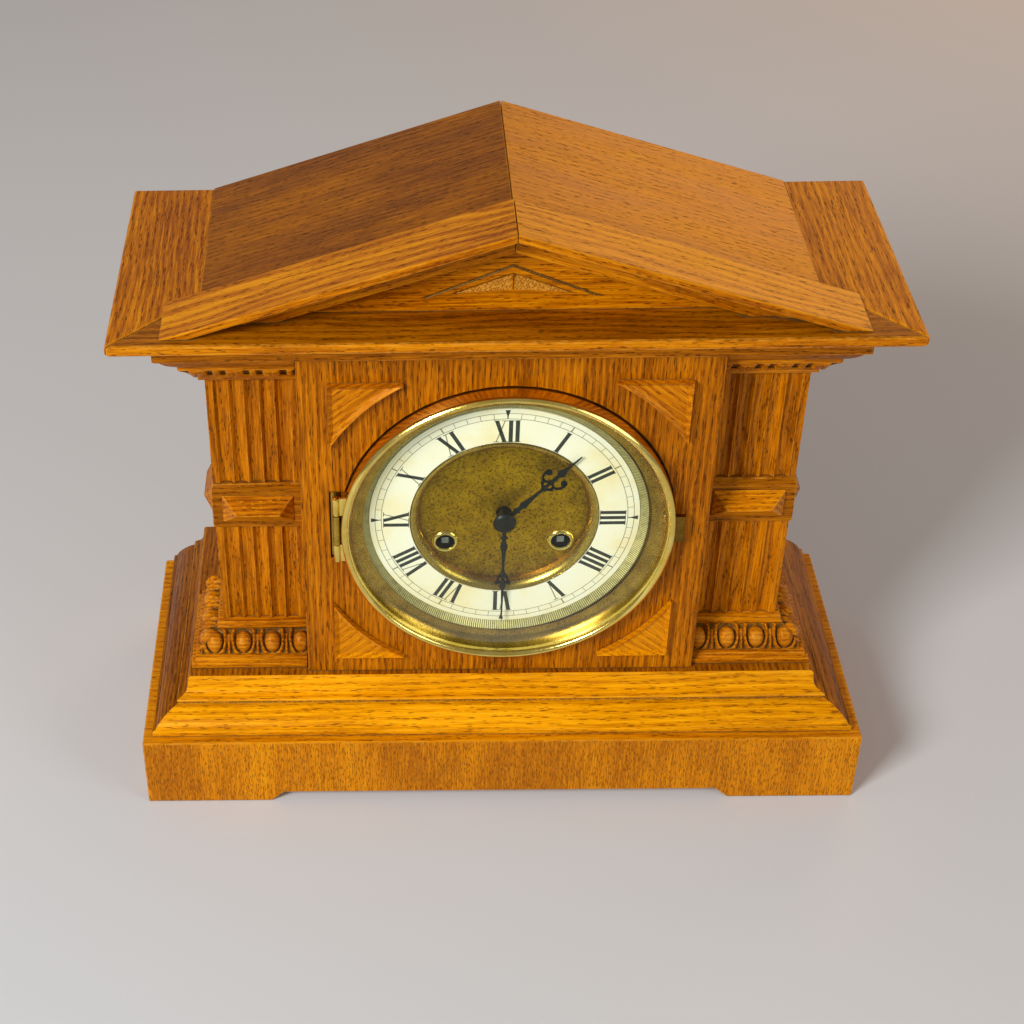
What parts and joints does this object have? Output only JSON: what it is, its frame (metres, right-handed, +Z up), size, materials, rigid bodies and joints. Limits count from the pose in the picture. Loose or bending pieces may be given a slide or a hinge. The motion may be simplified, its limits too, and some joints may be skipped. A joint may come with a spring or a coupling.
{
  "type": "mantel clock",
  "caption": "Oak mantel clock shaped like a small temple, with fluted pillars, a pitched roof, a hinged round glass door over the dial, and a striking pendulum movement inside.",
  "frame": {"origin": "under the middle of the plinth, on the surface the clock stands on", "axes": "+Z up, the dial faces -Y, +X to the right of someone looking at the dial"},
  "size_m": [0.38, 0.152, 0.3452],
  "materials": {
    "oak": "varnished, medium brown",
    "dark_oak": "varnished, darker",
    "light_oak": "varnished, lighter",
    "plain_wood": "unpolished",
    "brass": "polished",
    "old_brass": "speckled, aged",
    "steel": "smooth",
    "black_steel": "black, satin",
    "chapter": "cream, matt, printed numerals",
    "glass": "clear, domed and bevelled"
  },
  "bodies": {
    "case": {"plinth_frame": "oak", "base_moulding": "oak", "side_panel_left": "oak", "side_panel_right": "oak", "front_panel": "dark_oak", "spandrel_top_left": "light_oak", "spandrel_bottom_left": "light_oak", "spandrel_top_right": "light_oak", "spandrel_bottom_right": "light_oak", "column_base_left": "oak", "column_base_right": "oak", "lower_shaft_left": "oak", "lower_shaft_right": "oak", "mid_block_left": "oak", "mid_block_right": "oak", "block_boss_left": "light_oak", "block_boss_right": "light_oak", "upper_shaft_left": "oak", "upper_shaft_right": "oak", "capital_left": "oak", "capital_right": "oak", "frieze_front": "oak", "frieze_left": "oak", "frieze_right": "oak", "cornice_front": "oak", "cornice_left": "oak", "cornice_right": "oak", "raking_cornice_left": "light_oak", "raking_cornice_right": "light_oak", "tympanum": "oak", "roof_left": "dark_oak", "roof_right": "oak", "back_panel": "plain_wood", "bezel_hinge": "brass", "dial_pan": "brass", "chapter_ring": "chapter", "dial_centre": "old_brass", "seat_board": "plain_wood", "front_plate": "old_brass", "back_plate": "old_brass", "gong_coil": "steel", "gong_block": "black_steel"},
    "bezel_door": {"bezel": "brass", "bezel_glass": "glass", "bezel_catch": "old_brass"},
    "rear_door": {"back_door": "plain_wood"},
    "door_button": {"back_door_button": "brass"},
    "minute_arbor": {"minute_hand": "black_steel", "hand_nut": "black_steel", "centre_wheel": "brass"},
    "hour_pipe": {"hour_hand": "black_steel"},
    "time_barrel": {"time_barrel": "brass"},
    "strike_barrel": {"strike_barrel": "brass"},
    "time_arbor": {"time_winding_arbor": "steel"},
    "strike_arbor": {"strike_winding_arbor": "steel"},
    "third_wheel": {"third_wheel": "brass"},
    "escape_wheel": {"escape_wheel": "brass"},
    "anchor": {"pallet_anchor": "steel"},
    "pendulum": {"pendulum": "brass"},
    "hammer": {"strike_hammer": "steel"}
  },
  "joints": [
    {"name": "bezel_open", "type": "hinge", "parent": "case", "child": "bezel_door", "pos_m": [-0.0842, -0.0507, 0.1683], "axis": [0, 0, -1], "range_deg": [0, 140]},
    {"name": "back_door_open", "type": "hinge", "parent": "case", "child": "rear_door", "pos_m": [0.0796, 0.0742, 0.165], "axis": [0, 0, -1], "range_deg": [0, 120]},
    {"name": "button_turn", "type": "hinge", "parent": "case", "child": "door_button", "pos_m": [-0.087, 0.0727, 0.165], "axis": [0, 1, 0], "range_deg": [-90, 90]},
    {"name": "minute_turn", "type": "hinge", "parent": "case", "child": "minute_arbor", "pos_m": [0, -0.0467, 0.1683], "axis": [0, 1, 0], "continuous": true},
    {"name": "hour_turn", "type": "hinge", "parent": "case", "child": "hour_pipe", "pos_m": [0, -0.0453, 0.1683], "axis": [0, 1, 0], "continuous": true},
    {"name": "time_barrel_turn", "type": "hinge", "parent": "case", "child": "time_barrel", "pos_m": [0.0294, -0.008, 0.1499], "axis": [0, 1, 0], "continuous": true},
    {"name": "strike_barrel_turn", "type": "hinge", "parent": "case", "child": "strike_barrel", "pos_m": [-0.0294, -0.008, 0.1499], "axis": [0, 1, 0], "continuous": true},
    {"name": "time_winding_turn", "type": "hinge", "parent": "case", "child": "time_arbor", "pos_m": [0.0294, -0.0375, 0.1499], "axis": [0, 1, 0], "continuous": true},
    {"name": "strike_winding_turn", "type": "hinge", "parent": "case", "child": "strike_arbor", "pos_m": [-0.0294, -0.0375, 0.1499], "axis": [0, 1, 0], "continuous": true},
    {"name": "third_turn", "type": "hinge", "parent": "case", "child": "third_wheel", "pos_m": [0.016, 0.009, 0.1833], "axis": [0, 1, 0], "continuous": true},
    {"name": "escape_turn", "type": "hinge", "parent": "case", "child": "escape_wheel", "pos_m": [0, -0.016, 0.1953], "axis": [0, 1, 0], "continuous": true},
    {"name": "anchor_rock", "type": "hinge", "parent": "case", "child": "anchor", "pos_m": [0, -0.0163, 0.2123], "axis": [0, 1, 0], "range_deg": [-4, 4]},
    {"name": "pendulum_swing", "type": "hinge", "parent": "case", "child": "pendulum", "pos_m": [0, 0.022, 0.2123], "axis": [0, 1, 0], "range_deg": [-4, 4]},
    {"name": "hammer_swing", "type": "hinge", "parent": "case", "child": "hammer", "pos_m": [0.041, 0.0143, 0.138], "axis": [0, 1, 0], "range_deg": [-18, 4], "stiffness_Nm_per_rad": 0.05}
  ],
  "couplings": [
    {"joint": "hour_turn", "follows": "minute_turn", "ratio": 0.083333},
    {"joint": "time_barrel_turn", "follows": "minute_turn", "ratio": -0.193},
    {"joint": "third_turn", "follows": "minute_turn", "ratio": -3.61},
    {"joint": "escape_turn", "follows": "minute_turn", "ratio": 12},
    {"joint": "anchor_rock", "follows": "pendulum_swing", "ratio": 1}
  ]
}
